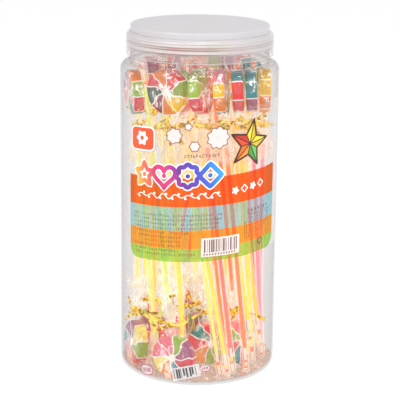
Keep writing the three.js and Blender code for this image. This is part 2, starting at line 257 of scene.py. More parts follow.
def grid_faces(rows, columns, wrap=True, loop=False):
    """The quads of a grid of points. wrap closes its columns on themselves, and loop its rows."""
    down, across = np.arange(rows if loop else rows - 1), np.arange(columns if wrap else columns - 1)
    row, column = np.meshgrid(down, across, indexing="ij")
    below, after = (row + 1) % rows, (column + 1) % columns
    corners = ((row, column), (row, after), (below, after), (below, column))
    return np.stack([r * columns + c for r, c in corners], -1).reshape(-1, 4)


def arc(radius, z, round_, start, end, steps=10):
    """Points of a round corner, as (radius, height), whose middle is at (radius, z)."""
    angles = np.radians(np.linspace(start, end, steps + 1))
    return [(radius + round_ * math.cos(a), z + round_ * math.sin(a)) for a in angles]


def turned(profile):
    """Points and quads of an outline turned about the jar's axis."""
    radius, height = np.array(profile, float).T
    angles = round_angles(JAR_SIDES)
    x, y = radius[:, None] * np.cos(angles), radius[:, None] * np.sin(angles)
    z = np.tile(height[:, None], (1, JAR_SIDES))
    return np.stack([x, y, z], -1).reshape(-1, 3), grid_faces(len(profile), JAR_SIDES)


def swept(path, side, up, outline):
    """A shut tube along path. outline is its section as (side, up), one or one for each point of path."""
    path, side, up, outline = (np.asarray(a, float) for a in (path, side, up, outline))
    if outline.ndim == 2:
        outline = np.tile(outline, (len(path), 1, 1))
    points = path[:, None] + outline[..., :1] * side[:, None] + outline[..., 1:] * up[:, None]
    rows, columns = points.shape[:2]
    faces = [tuple(q) for q in grid_faces(rows, columns)]
    faces.append(tuple(reversed(range(columns))))
    faces.append(tuple(range((rows - 1) * columns, rows * columns)))
    return points.reshape(-1, 3), faces


# ---- materials

class Nodes:
    """The node tree of a new material, or of the world, with short calls to add to it."""

    def __init__(self, name, world=False):
        self.owner = (bpy.data.worlds if world else bpy.data.materials).new(name)
        self.owner.use_nodes = True
        self.tree = self.owner.node_tree
        self.tree.nodes.clear()
        self.output = self.tree.nodes.new("ShaderNodeOutput" + ("World" if world else "Material"))

    def add(self, kind, inputs=None, **values):
        """A node. inputs are its sockets' links or values, and values its settings and other sockets."""
        node = self.tree.nodes.new("ShaderNode" + kind)
        for key, value in values.items():
            name = key.replace("_", " ")
            if name in node.inputs:
                node.inputs[name].default_value = value
            else:
                setattr(node, key, value)
        for key, value in (inputs or {}).items():
            if isinstance(value, bpy.types.NodeSocket):
                self.tree.links.new(value, node.inputs[key])
            else:
                node.inputs[key].default_value = value
        return node

    def out(self, kind, inputs=None, take=0, **values):
        """One output of a new node."""
        return self.add(kind, inputs, **values).outputs[take]

    def mix(self, factor, first, second):
        return self.out("MixShader", {0: factor, 1: first, 2: second})

    def finish(self, shader):
        self.tree.links.new(shader, self.output.inputs["Surface"])
        return self.owner

    def place(self):
        return self.out("TexCoord", take="Object")

    def own_place(self):
        return self.out("Attribute", take="Vector", attribute_name="own")

    def tint(self):
        return self.out("Attribute", take="Color", attribute_name="tint")

    def noise(self, vector, scale, detail, **values):
        return self.out("TexNoise", {"Vector": vector}, "Fac", Scale=scale, Detail=detail, **values)

    def math(self, operation, first, second=0.5):
        return self.out("Math", {0: first, 1: second}, operation=operation)

    def ranged(self, value, low, high, to_low=0.0, to_high=1.0):
        """value from low to high, spread over to_low to to_high."""
        ends = {"From Min": low, "From Max": high, "To Min": to_low, "To Max": to_high}
        return self.out("MapRange", {"Value": value, **ends})

    def drawn(self, vector, along):
        """Places whose distances along the lollipop count along times."""
        return self.out("VectorMath", {0: vector, 1: (1, 1, along)}, operation="MULTIPLY")

    def uneven_tint(self, vector, scale, detail, dark, bright, **values):
        """The piece's own colours, each times dark to bright by a noise."""
        shade = self.ranged(self.noise(vector, scale, detail, **values), 0.3, 0.7, dark, bright)
        return self.out("MixRGB", {"Color1": self.tint(), "Color2": shade}, blend_type="MULTIPLY", Fac=1.0)

    def slant(self, normal):
        return self.out("LayerWeight", {"Normal": normal}, "Facing", Blend=0.5)

    def mirror_share(self, normal, head_on, most=0.9):
        """How much a thin wall mirrors: head_on of a ray that meets it squarely, and more at a slant."""
        return self.ranged(self.math("POWER", self.slant(normal), 4.5), 0, 1, head_on, most)

    def raised(self, height, strength, distance):
        return self.out("Bump", {"Height": height}, Strength=strength, Distance=distance)

    def bump(self, vector, scale, strength):
        return self.raised(self.noise(vector, scale, 3.0), strength, 0.0004)

    def creases(self, vector, scale, distance):
        """The facets of crinkled film: cells that each tilt their own way, bent by noise."""
        warp = self.out("TexNoise", {"Vector": vector}, "Color", Scale=scale * 0.5, Detail=2.0)
        moved = self.out("MixRGB", {"Color1": vector, "Color2": warp}, blend_type="ADD", Fac=0.004)
        return self.raised(self.out("TexVoronoi", {"Vector": moved}, "Distance", Scale=scale), 1.0, distance)

    def clear(self, passes):
        return self.out("BsdfTransparent", {"Color": passes})

    def gloss(self, normal, roughness):
        return self.out("BsdfGlossy", {"Normal": normal}, Color=PURE, Roughness=roughness)

    def glow_through(self, colour, **inputs):
        return self.out("BsdfTranslucent", {"Color": colour, **inputs})

    def haze(self, share, colour, normal):
        """Cloudy plastic, which passes on that share of the light and scatters the rest back."""
        cloudy = self.out("BsdfDiffuse", {"Color": colour, "Normal": normal})
        return self.mix(share, cloudy, self.glow_through(colour, Normal=normal))

    def painted_glow_body(self, colour, glow, roughness, normal=None, **values):
        """A solid surface that also gives off a little of its own colour: a painted glow."""
        inputs = {"Base Color": colour, "Emission Color": colour, "Emission Strength": glow}
        if normal is not None:
            inputs["Normal"] = normal
        return self.out("BsdfPrincipled", inputs, Roughness=roughness, **values)


def clear_plastic(name, passes, head_on, roughness, haze, haze_colour, bump, most=0.9, edge=None):
    """Thin see-through plastic: light goes straight through, tinted, and the surface mirrors by its angle.

    bump is the scale and strength of its unevenness, and edge its tint where it is seen at a slant.
    """
    n = Nodes(name)
    normal = n.bump(n.place(), *bump)
    if edge:
        passes = n.out("MixRGB", {"Fac": n.mirror_share(normal, 0, 1), "Color1": passes, "Color2": edge})
    body = n.mix(haze, n.clear(passes), n.haze(0.5, haze_colour, normal))
    return n.finish(n.mix(n.mirror_share(normal, head_on, most), body, n.gloss(normal, roughness)))


# The lid's colour and cloudiness by height. Where the threads are, the reddish bands are painted reflection,
# the jar's contents seen bent through the threads, and the near-white bands between them are painted
# highlights. Then the plain raised top.
LID_TONES_AND_PAINTED_BANDS = [
    (255.0, (252, 248, 247), 0.5),
    (255.7, (236, 226, 222), 0.12),
    (261.2, (232, 224, 220), 0.2),
    (261.7, (178, 140, 126), 0.5),
    (262.2, (178, 140, 126), 0.5),
    (262.8, (254, 253, 253), 0.55),
    (264.6, (252, 251, 251), 0.5),
    (265.1, (172, 128, 118), 0.5),
    (265.6, (176, 134, 124), 0.5),
    (266.2, (252, 250, 250), 0.5),
    (266.8, (190, 152, 142), 0.45),
    (267.2, (196, 160, 150), 0.45),
    (267.9, (253, 252, 252), 0.52),
    (269.3, (250, 248, 248), 0.52),
    (269.6, (196, 170, 166), 0.5),
    (270.1, (250, 249, 250), 0.6),
    (271.4, (240, 240, 242), 0.42),
    (272.7, (238, 238, 241), 0.42),
    (273.6, (230, 230, 233), 0.8),
    (277.2, (230, 230, 233), 0.86),
    (278.1, (218, 218, 221), 0.86),
]
SKIRT_PALE = linear(236, 236, 238)
# The painted bands fade from BANDS_FULL to BANDS_PALE away from this X, but nothing fades above BANDS_TOP.
BANDS_MIDDLE = -12
BANDS_FULL = 16
BANDS_PALE = 36
BANDS_TOP = (270, 271)


def lid_material():
    """Frosted plastic, cloudier up on the raised top than down on the skirt, with painted reflection and
    highlight bands round the skirt.
    """
    n = Nodes("lid_frosted")
    place = n.place()
    normal = n.bump(place, 60.0, 0.12)
    apart = n.add("SeparateXYZ", {"Vector": place}).outputs
    tone = n.add("ValToRGB", {"Fac": n.ranged(apart["Z"], LID_LOW * MM, LID_HEIGHT * MM)})
    ramp = tone.color_ramp
    while len(ramp.elements) < len(LID_TONES_AND_PAINTED_BANDS):
        ramp.elements.new(0.5)
    for element, (z, shown, haze) in zip(ramp.elements, LID_TONES_AND_PAINTED_BANDS):
        element.position = (z - LID_LOW) / (LID_HEIGHT - LID_LOW)
        element.color = (*linear(*shown)[:3], haze)
    beside = n.math("ABSOLUTE", n.math("ADD", apart["X"], -BANDS_MIDDLE * MM))
    faded = n.ranged(beside, BANDS_FULL * MM, BANDS_PALE * MM, 0, 0.7)
    below = n.ranged(apart["Z"], *(z * MM for z in BANDS_TOP), 1, 0)
    pale = n.math("MULTIPLY", faded, below)
    colour = n.out("MixRGB", {"Fac": pale, "Color1": tone.outputs["Color"], "Color2": SKIRT_PALE})
    body = n.mix(tone.outputs["Alpha"], n.clear((0.955, 0.95, 0.95, 1)), n.haze(0.45, colour, normal))
    return n.finish(n.mix(n.mirror_share(normal, 0.05, 0.25), body, n.gloss(normal, 0.3)))


def candy_material():
    n = Nodes("candy")
    place = n.own_place()
    colour = n.uneven_tint(place, 420.0, 4.0, 0.82, 1.12, Roughness=0.6)
    coat = {"Coat_Weight": 0.4, "Coat_Roughness": 0.12}
    return n.finish(n.painted_glow_body(colour, CANDY_GLOW, 0.3, n.bump(place, 260.0, 0.35), **coat))


def painted_fold_glints(n, place, most):
    """Painted glints on the fold lines: the level lines of a noise drawn out along the lollipop, in patches,
    where the film is given glowing white.
    """
    level = n.noise(n.drawn(place, 0.5), 190.0, 3.0, Distortion=1.2)
    line = n.ranged(n.math("ABSOLUTE", n.math("SUBTRACT", level, 0.5)), 0.015, 0.085, 1.0, 0.0)
    patch = n.ranged(n.noise(place, 105.0, 2.0), 0.49, 0.58, 0.0, most)
    return n.math("MULTIPLY", line, patch)


def film_material(name, opacity, colour, cells, crease, glow, head_on, painted_glint_share, drawn_out=1.0):
    """Crinkled clear film: mostly see-through, with a share that scatters and gives off a painted glow of
    its colour, and painted glints of glowing white on its folds.
    """
    n = Nodes(name)
    place = n.own_place()
    normal = n.creases(place, cells, crease)
    lace = n.noise(n.drawn(place, 1 / drawn_out), cells * 1.6, 5.0, Roughness=0.7)
    share = n.ranged(lace, 0.4, 0.6, opacity * 0.3, min(1, opacity * 1.8))
    scatter = n.mix(0.5, n.painted_glow_body(colour, glow, 0.6, normal), n.glow_through(colour, Normal=normal))
    body = n.mix(share, n.clear((0.996, 0.992, 0.986, 1)), scatter)
    # Painted highlight: glowing white over the film along its fold lines.
    body = n.mix(painted_fold_glints(n, place, painted_glint_share), body, n.painted_glow_body(PURE, 0.6, 0.5))
    return n.finish(n.mix(n.mirror_share(normal, head_on), body, n.gloss(normal, 0.06)))


def tube_material():
    """A clear plastic tube: see-through in the middle, and pale where its wall is seen on edge; that pale
    share gives off a painted glow.
    """
    n = Nodes("tube_clear")
    normal = n.bump(n.own_place(), 60.0, 0.1)
    share = n.ranged(n.slant(normal), 0.3, 0.9, 0.07, 0.6)
    body = n.mix(share, n.clear((0.99, 0.988, 0.98, 1)), n.painted_glow_body(linear(255, 246, 230), 0.6, 0.4))
    return n.finish(n.mix(n.mirror_share(normal, 0.05, 0.5), body, n.gloss(normal, 0.08)))


def core_material():
    n = Nodes("stick_core")
    colour = n.uneven_tint(n.own_place(), 160.0, 2.0, 0.92, 1.06)
    return n.finish(n.mix(0.3, n.painted_glow_body(colour, CORE_GLOW, 0.35), n.glow_through(colour)))


def gold_material(name, glint_patch_scale, dark, bright, glow):
    """Gold foil in patches from bright to dark: painted glints and shade of crumpled foil, with a painted
    glow.
    """
    n = Nodes(name)
    place = n.own_place()
    colour = n.add("ValToRGB", {"Fac": n.noise(place, glint_patch_scale, 2.0)})
    for element, position, tone in zip(colour.color_ramp.elements, (0.36, 0.56), (dark, bright)):
        element.position = position
        element.color = tone
    foil = n.painted_glow_body(colour.outputs["Color"], glow, 0.25, n.bump(place, 700.0, 0.6), Metallic=1.0)
    return n.finish(foil)


def print_material(name, see_through):
    """Ink on the label: its colour scatters, and see_through of it works as a colour filter."""
    n = Nodes(name)
    colour = n.uneven_tint(n.place(), 900.0, 2.0, 0.96, 1.03)
    ink = n.out("BsdfPrincipled", {"Base Color": colour}, Roughness=0.25)
    return n.finish(n.mix(see_through, ink, n.clear(n.tint())) if see_through else ink)


JAR_TINT = (0.928, 0.92, 0.918, 1)
JAR_EDGE = (0.78, 0.772, 0.775, 1)
JAR_HAZE = (0.8, 0.8, 0.8, 1)
LABEL_TINT = (0.985, 0.985, 0.985, 1)
LABEL_HAZE = (0.9, 0.9, 0.9, 1)
# The thread's pinkish tint and haze are painted reflection: they tint the clear thread and the neck lines
# with the jar's contents seen bent through them.
THREAD_PAINTED_TINT = (0.95, 0.9, 0.89, 1)
SEAL_TINT = (0.98, 0.98, 0.98, 1)
WRAP_TINT = linear(252, 242, 226)
CLEAR_JAR = clear_plastic("jar_clear", JAR_TINT, 0.02, 0.04, 0.01, JAR_HAZE, (30, 0.04), 0.3, JAR_EDGE)
CLEAR_THREAD = clear_plastic("thread_clear", THREAD_PAINTED_TINT, 0.12, 0.1, 0.14, linear(230, 206, 198), (60, 0.2))
FROSTED_LID = lid_material()
# The seal's white cloudiness is partly the real seal and partly a painted highlight along the lid's step.
SEAL_FILM = clear_plastic("seal_film", SEAL_TINT, 0.25, 0.1, 0.6, linear(250, 250, 250), (300, 0.4))
CLEAR_LABEL = clear_plastic("label_clear", LABEL_TINT, 0.02, 0.12, 0.03, LABEL_HAZE, (90, 0.08))
CLEAR_TUBE = tube_material()
WRAP_FILM = film_material("wrapper_film", 0.05, WRAP_TINT, 210.0, 0.0014, 0.35, 0.09, 0.85)
WRAP_DOWN = film_material("wrapper_film_down", 0.05, WRAP_TINT, 210.0, 0.0014, 0.35, 0.08, 0.5)
SKIRT_UP = film_material("skirt_film_up", 0.28, linear(254, 240, 210), 420.0, 0.0006, 0.5, 0.08, 0.3, 7.0)
DOWN_WHITE = linear(250, 251, 255)
SKIRT_DOWN = film_material("skirt_film_down", 0.22, DOWN_WHITE, 420.0, 0.0006, 0.42, 0.08, 0.5, 7.0)
# The base film's pink-brown is partly the crumpled film and partly painted shade at the crowded foot of the
# jar; this film also has a painted glow.
BASE_FILM = film_material("base_film", 0.5, linear(228, 194, 172), 260.0, 0.001, 0.3, 0.08, 0.3)
CANDY_BODY = candy_material()
CORE_BODY = core_material()
FOIL = gold_material("tie_foil", 420.0, linear(132, 80, 8), linear(255, 214, 44), 0.42)
FLAT_FOIL = gold_material("tie_foil_flat", 240.0, linear(150, 98, 14), linear(255, 228, 96), 0.4)
BAND_INK = print_material("band_ink", 0.9)
INK = print_material("ink", 0.0)
SMALL_INK = print_material("small_ink", 0.0)


# ---- jar and lid

def jar_profile():
    round_inside = HEEL_RADIUS - WALL
    middle = BODY_RADIUS - WALL - round_inside
    neck_inside = NECK_RADIUS - WALL
    ledge = SHOULDER_Z + SHOULDER_RADIUS
    return [
        (0, PUSH_UP),
        (PUSH_UP_RADIUS, PUSH_UP),
        (FOOT_INSIDE, 0),
        *arc(BODY_RADIUS - HEEL_RADIUS, HEEL_RADIUS, HEEL_RADIUS, -90, 0),
        *arc(BODY_RADIUS - SHOULDER_RADIUS, SHOULDER_Z, SHOULDER_RADIUS, 0, 90),
        (NECK_RADIUS, ledge),
        *arc(NECK_RADIUS, NECK_BEAD_Z, NECK_BEAD, -90, 90, 8),
        (NECK_RADIUS, NECK_TOP),
        (neck_inside, NECK_TOP),
        (neck_inside, ledge - WALL),
        *arc(middle, SHOULDER_Z, round_inside, 90, 0),
        *arc(middle, BASE + round_inside, round_inside, 0, -90),
        (FOOT_INSIDE, BASE),
        (PUSH_UP_RADIUS, PUSH_UP + BASE),
        (0, PUSH_UP + BASE),
    ]


def lid_profile():
    step = LID_RADIUS - LID_STEP_ROUND, LID_STEP_Z - LID_STEP_ROUND
    edge = LID_RADIUS - LID_WALL, LID_LOW
    inside = LID_TOP_RADIUS - LID_WALL
    ceiling = LID_HEIGHT - LID_WALL
    return [
        edge,
        (LID_RADIUS, LID_LOW),
        *arc(*step, LID_STEP_ROUND, 0, 75),
        (LID_TOP_RADIUS, LID_STEP_Z),
        *arc(LID_TOP_RADIUS - LID_TOP_ROUND, LID_HEIGHT - LID_TOP_ROUND, LID_TOP_ROUND, 0, 90, 5),
        (0, LID_HEIGHT),
        (0, ceiling),
        (inside, ceiling),
        (inside, LID_STEP_Z - LID_WALL),
        *arc(*step, LID_STEP_ROUND - LID_WALL, 75, 0),
        edge,
    ]


def thread():
    """The raised thread round the neck, thin at both ends."""
    part = np.linspace(0, 1, 151)
    angle = FULL_TURN * THREAD_TURNS * part
    out = level_ways(angle)
    path = out * (NECK_RADIUS - 0.1)
    path[:, 2] = THREAD_LOW + THREAD_PITCH * THREAD_TURNS * part
    size = THREAD_RADIUS * np.sqrt(np.clip(np.minimum(part, 1 - part) * 20, 0.02, 1))
    up = np.tile([0.0, 0.0, 1.0], (len(part), 1))
    return swept(path, out, up, size[:, None, None] * round_section(10)[None])


def ring_tube(radius, z, across, tall, sides, size=1.0):
    """A closed ring about the jar's axis, with an oval section. z and size may change along it."""
    out = level_ways(round_angles(sides))[:, None]
    section = round_section(8) * (across, tall)
    ring = np.broadcast_to(size, sides)[:, None, None] * section
    points = out * (radius + ring[..., :1])
    points[..., 2] = np.broadcast_to(z, sides)[:, None] + ring[..., 1]
    return points.reshape(-1, 3), grid_faces(sides, 8, loop=True)


def make_jar():
    heap = Heap()
    heap.add(*turned(jar_profile()))
    mesh_piece("jar_body", heap, CLEAR_JAR, "jar", sharp=35, weld=True)
    rib = Heap()
    rib.add_mixed(*thread())
    for out, z in NECK_LINES:
        rib.add(*ring_tube(NECK_RADIUS + out, z, NECK_LINE_HALF, NECK_LINE_HALF, JAR_SIDES))
    mesh_piece("jar_thread", rib, CLEAR_THREAD, "jar")


def make_lid():
    """The lid, and the wavy edge of the sealing film pressed over the mouth, just under its step. That edge
    is white and cloudy so that it shows as the wavy highlight along the step: partly the real seal, partly a
    painted highlight.
    """
    heap = Heap()
    heap.add(*turned(lid_profile()))
    mesh_piece("lid_shell", heap, FROSTED_LID, "lid", sharp=35, weld=True)
    angle = round_angles(360)
    wave = 0.09 * (np.sin(47 * angle) + np.sin(83 * angle + 1) + np.sin(19 * angle + 2))
    edge = Heap()
    edge.add(*ring_tube(SEAL_RADIUS, SEAL_Z + wave, 1.2, 0.45, 360, 1 + 0.15 * np.sin(31 * angle)))
    mesh_piece("lid_seal", edge, SEAL_FILM, "lid")


# ---- lollipops

SAME_WAY = 0.9995  # least cosine between the normals of one flat face
TIP_DEPTH = 0.6  # the solid's points this near its far end are the stick's tip


class Pose:
    """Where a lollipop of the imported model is, read from its solid: its disc, its facing and its stick."""

    def __init__(self, name):
        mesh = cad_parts[name].data
        mesh.calc_loop_triangles()
        points = np.array([v.co for v in mesh.vertices], float) / MM
        corners = points[np.array([t.vertices for t in mesh.loop_triangles])]
        cross = np.cross(corners[:, 1] - corners[:, 0], corners[:, 2] - corners[:, 0])
        area = np.linalg.norm(cross, axis=1) / 2
        normals = cross / np.maximum(2 * area, 1e-9)[:, None]
        # The disc's two flat faces hold the most area that faces one way or its opposite.
        alike = np.abs(normals @ normals.T) > SAME_WAY
        flat = alike[np.argmax(alike @ area)]
        weights = area[flat] / area[flat].sum()
        self.hub = (corners[flat].mean(1) * weights[:, None]).sum(0)
        away = np.linalg.norm(points - self.hub, axis=1)
        along = points[away > away.max() - TIP_DEPTH].mean(0) - self.hub
        self.stick = np.linalg.norm(along)
        along /= self.stick
        facing = normals[flat][0]
        facing = unit(facing - (facing @ along) * along)
        if facing[1] > 0:
            facing = -facing
        self.x, self.z = facing, -along
        self.y = np.cross(self.z, self.x)
        self.head_up = self.z[2] > 0

    def world(self, points):
        points = np.asarray(points, float)
        return self.hub + points[..., :1] * self.x + points[..., 1:2] * self.y + points[..., 2:] * self.z

    def inside(self, points):
        """World places of points, with those that would pass the jar's wall pressed against it."""
        placed = self.world(points)
        across = np.hypot(placed[..., 0], placed[..., 1])
        placed[..., :2] *= np.minimum(1, INSIDE_JAR / np.maximum(across, 1e-6))[..., None]
        placed[..., 2] = np.maximum(placed[..., 2], BASE + 0.1)
        return placed


def candy(pose, colours, turn):
    """The candy disc: coloured wedges between curved white lines, all through its thickness."""
    half = DISC_THICKNESS / 2 - FILM_ROOM
    outer = DISC_RADIUS - FILM_ROOM - 0.1
    corner = outer - CANDY_ROUND
    radii = [0.01, 1.4, HUB_RADIUS, 4.6, 6.8, 9, 11.2, 13.2, 15, corner]
    bend = np.radians(np.linspace(0, 90, 5))[1:]
    face = [(r, half - CANDY_CROWN * (r / outer) ** 2) for r in radii]
    low = half - CANDY_CROWN
    edge = [(corner + CANDY_ROUND * math.sin(a), low - CANDY_ROUND * (1 - math.cos(a))) for a in bend]
    rim = [(outer, x) for x in np.linspace(edge[-1][1], -edge[-1][1], 4)[1:-1]]
    half_profile = face + edge
    radius, across = np.array(half_profile + rim + [(r, -x) for r, x in reversed(half_profile)]).T
    lines = FULL_TURN * np.arange(WEDGES) / WEDGES + turn + draw.uniform(-0.08, 0.08, WEDGES)
    swing = draw.uniform(0.08, 0.2, WEDGES)
    start = draw.uniform(-0.3, 0.3, WEDGES)
    share = radius / outer
    line_angle = lines[None] + swing[None] * np.sin(FULL_TURN * share[:, None] * 0.85 + start[None])
    white = np.minimum(LINE_HALF / np.maximum(radius, 1.2), 0.33)[:, None]
    after = np.roll(line_angle, -1, axis=1)
    after[:, -1] += FULL_TURN
    first, last = line_angle + white, after - white
    # Four strips of wedge and one of line between each two lines
    angle = np.stack([first + (last - first) * k / 4 for k in range(5)], -1).reshape(len(radius), -1)
    columns = angle.shape[1]
    uneven = 0.25 * np.cos(WEDGES * (angle - turn)) + 0.2 * np.sin(3 * angle + turn)
    r = radius[:, None] * (1 + uneven / outer * (share[:, None] ** 2))
    x = across[:, None] + 0.12 * np.sin(2 * angle + 3 * share[:, None]) * (share[:, None] < 0.93)
    local = np.stack([x, r * np.sin(angle), r * np.cos(angle)], -1)
    faces = grid_faces(len(radius), columns)
    row, column = faces[:, 0] // columns, faces[:, 0] % columns
    near, far = np.minimum(radius[row], radius[row + 1]), np.maximum(radius[row], radius[row + 1])
    is_hub = (near < HUB_RADIUS - 0.01) & (far < HUB_RADIUS + 0.01)
    tint = np.array(colours)[column // 5]
    tint[(column % 5 == 4) | is_hub] = WHITE
    return pose.world(local).reshape(-1, 3), faces, tint, local.reshape(-1, 3) + pose.hub


def crinkle(local, strength, seed):
    """Ridged unevenness of film, from 0 to strength, at each point."""
    waves = np.random.default_rng(seed)
    total = np.zeros(local.shape[:-1])
    for _ in range(7):
        direction = unit(waves.normal(size=3))
        pitch = waves.uniform(2.2, 7.0)
        phase = waves.uniform(0, FULL_TURN)
        total += 1 - np.abs(np.sin(local @ direction * math.pi / pitch + phase))
    return strength * total / 7


def film(pose, local):
    """A sheet of film in a lollipop's frame, as a heap takes it."""
    placed = pose.inside(local).reshape(-1, 3)
    return placed, grid_faces(*local.shape[:2]), WHITE, local.reshape(-1, 3) + pose.hub


def wrapper(pose, seed):
    """The film pouch round the disc, gathered in pleats down to the tie."""
    own = np.random.default_rng(seed)
    half, radius = DISC_THICKNESS / 2, DISC_RADIUS
    over = np.linspace(0.02, math.acos(-TENT_TOP / radius), 22)
    tent = np.linspace(0, 1, 13)[1:]
    low_width = radius * math.sin(over[-1])

    def run(pouch, gathered):
        """Values down the pouch, then down the tent that is gathered to the tie."""
        return np.concatenate([np.broadcast_to(pouch, over.shape), gathered])[:, None]

    width = run(radius * np.sin(over), TIE_RADIUS + (low_width - TIE_RADIUS) * (1 - tent) ** 1.15)
    height = run(radius * np.cos(over), -TENT_TOP - (TIE_AT - TENT_TOP) * tent)
    depth = run(half, TIE_RADIUS + (half - TIE_RADIUS) * (1 - tent) ** 0.7)
    shape = 2 / run(4.5, 4.5 - 2.5 * tent)
    pleat = run(np.clip((over - 1.2) * 0.25, 0, 0.2), 0.2 + 0.75 * tent)
    around = round_angles(64)[None]
    y = width * np.sign(np.cos(around)) * np.abs(np.cos(around)) ** shape
    x = depth * np.sign(np.sin(around)) * np.abs(np.sin(around)) ** shape
    folds = 0 * x
    for count in (9, 13, 19):
        folds += np.sin(count * around + own.uniform(0, 6.3) + 0.02 * height * own.uniform(-4, 4))
    pull = 1 - pleat * (0.5 + folds / 6) / np.maximum(np.hypot(x, y), 1)
    local = np.stack([x * pull, y * pull, height + 0 * x], -1)
    away = local * (1, 1, 0.5)
    length = np.maximum(np.linalg.norm(away, axis=-1, keepdims=True), 1e-6)
    return film(pose, local - away / length * crinkle(local, FILM_CRINKLE, seed + 5)[..., None])


def skirt(pose, seed):
    """The loose end of the film below the tie, opened out in ruffles with an uneven edge."""
    own = np.random.default_rng(seed + 900)
    down = np.linspace(0, 1, 20)[:, None]
    around = round_angles(72)[None]
    reach = SKIRT_RADIUS * own.uniform(0.95, 1.2)
    radius = TIE_RADIUS - 0.3 + (reach - TIE_RADIUS) * down ** 0.75
    ruffle = 0 * down * around
    for count, size in ((5, 1.0), (8, 0.9), (13, 0.7), (21, 0.4)):
        ruffle += size * np.sin(count * around + own.uniform(0, 6.3) + down * own.uniform(-2, 2))
    radius = radius + ruffle * (0.15 + 1.0 * down)
    end = 1 + 0.06 * np.sin(3 * around + own.uniform(0, 6.3))
    end = end + 0.05 * np.sin(11 * around + own.uniform(0, 6.3))
    z = -TIE_AT - (SKIRT_AT - TIE_AT) * down * end
    return film(pose, np.stack([radius * np.sin(around), radius * np.cos(around), z], -1))


def rod(pose, colour, start, end, radius, sides, rounded=True):
    """A round bar along the stick, from start to end below the disc's middle, with a rounded far end."""
    bend = np.radians(np.linspace(0, 80, 5))
    depth = np.array([start, *(end - radius + radius * np.sin(bend))] if rounded else [start, end])
    size = np.array([radius, *(radius * np.cos(bend))] if rounded else [radius, radius])
    path = np.stack([0 * depth, 0 * depth, -depth], -1)
    side = np.tile([1.0, 0, 0], (len(depth), 1))
    up = np.tile([0, -1.0, 0], (len(depth), 1))
    points, faces = swept(path, side, up, size[:, None, None] * round_section(sides)[None])
    return pose.world(points), faces, colour, points + pose.hub


def tie(pose, seed):
    """The foil twist tie: a flat band round the gathered film, and its two loose ends."""
    own = np.random.default_rng(seed + 300)
    tape = np.array([(-1, -1), (1, -1), (1, 1), (-1, 1)]) * (TIE_HALF_THICKNESS, TIE_HALF_WIDTH)
    turns = np.linspace(0, FULL_TURN * 1.25, 32)
    start = own.uniform(0, 6.3)
    out = np.stack([np.sin(turns + start), np.cos(turns + start), 0 * turns], -1)
    path = out * (TIE_RADIUS + 0.45 + 0.05 * turns[:, None])
    path[:, 2] = -TIE_AT + 0.9 * np.sin(turns * 0.8) + 0.4 * turns / 6
    parts = [swept(path, out, np.tile([0, 0, 1.0], (len(turns), 1)), tape)]
    for sign in (-1, 1):
        length = own.uniform(12, 22)
        share = np.linspace(0, 1, 14)[:, None]
        heading = start + sign * own.uniform(0.5, 1.3)
        ahead = unit(np.array([math.sin(heading), math.cos(heading), own.uniform(-0.5, 0.5)]))
        droop = np.array([0, 0, own.uniform(-6, 6)])
        path = ahead * (TIE_RADIUS + length * share) + droop * share ** 2
        path[:, 2] -= TIE_AT
        side = unit(np.cross(ahead, [0, 0, 1.0]))
        twist = share * own.uniform(2, 6) + own.uniform(0, 1.5)
        above = np.cross(side, ahead)
        across = np.cos(twist) * side + np.sin(twist) * above
        along = -np.sin(twist) * side + np.cos(twist) * above
        parts.append(swept(path, across, along, tape))
    return [(pose.inside(points), faces, WHITE, points + pose.hub) for points, faces in parts]


# The wedges' colours, from the top wedge on. The others draw theirs from USUAL_CANDY.
FRONT_CANDY = {
    "lollipop_up_01": "grey orange green pink_red teal cream salmon mauve",
    "lollipop_up_02": "orange red olive yellow orange maroon dark pink_red",
    "lollipop_up_03": "green pink red pink_red green pink red olive",
    "lollipop_up_04": "yellow orange teal peach yellow orange teal yellow",
    "lollipop_up_05": "red pink_red green red red pink_red green red",
    "lollipop_up_06": "teal maroon orange mauve teal maroon orange teal",
    "lollipop_up_07": "yellow peach teal orange yellow peach teal yellow",
    "lollipop_down_01": "mauve cream green red peach pink_red teal mauve",
    "lollipop_down_02": "pink green mauve pink_red teal peach cream pink",
    "lollipop_down_03": "pink_red red pink maroon green peach pink_red teal",
    "lollipop_down_04": "pink teal teal cream pink teal pink_red green",
}
# Colours down the rim of the discs that stand edge-on in front
SIDE_BANDS = {
    "lollipop_up_03": "olive green pink_red red",
    "lollipop_up_04": "pink yellow orange dark",
    "lollipop_up_05": "teal red pink_red green",
    "lollipop_up_06": "teal teal mauve orange",
    "lollipop_up_07": "yellow yellow orange peach",
}
SIDE_TURN = 0.02
USUAL_CANDY = "orange red green yellow teal pink_red mauve cream olive salmon peach pink".split()
# The cores of lollipop_up_01 and on, and of lollipop_down_01 and on; the others take theirs in turn.
FRONT_CORES = {
    "up": "lime yellow coral orange yellow pink pink yellow lime orange yellow gold coral".split(),
    "down": "cream lime yellow orange".split(),
}
USUAL_CORES = "yellow gold yellow orange yellow cream gold lime yellow coral gold".split()
BEAD_CORES = "yellow orange coral gold".split()
LOLLIPOP_PIECES = {
    "candy_discs": (CANDY_BODY, 50, True),
    "wrapper_film_up": (WRAP_FILM, None, False),
    "wrapper_film_down": (WRAP_DOWN, None, False),
    "wrapper_skirts_up": (SKIRT_UP, None, False),
    "wrapper_skirts_down": (SKIRT_DOWN, None, False),
    "twist_ties": (FOIL, 40, False),
    "stick_tubes": (CLEAR_TUBE, 50, False),
    "stick_cores": (CORE_BODY, 50, False),
    "tip_beads": (CORE_BODY, 50, False),
}


def core_colour(name, k):
    _, way, number = name.split("_")
    front = FRONT_CORES[way]
    return CORE[front[int(number) - 1] if int(number) <= len(front) else USUAL_CORES[k % len(USUAL_CORES)]]


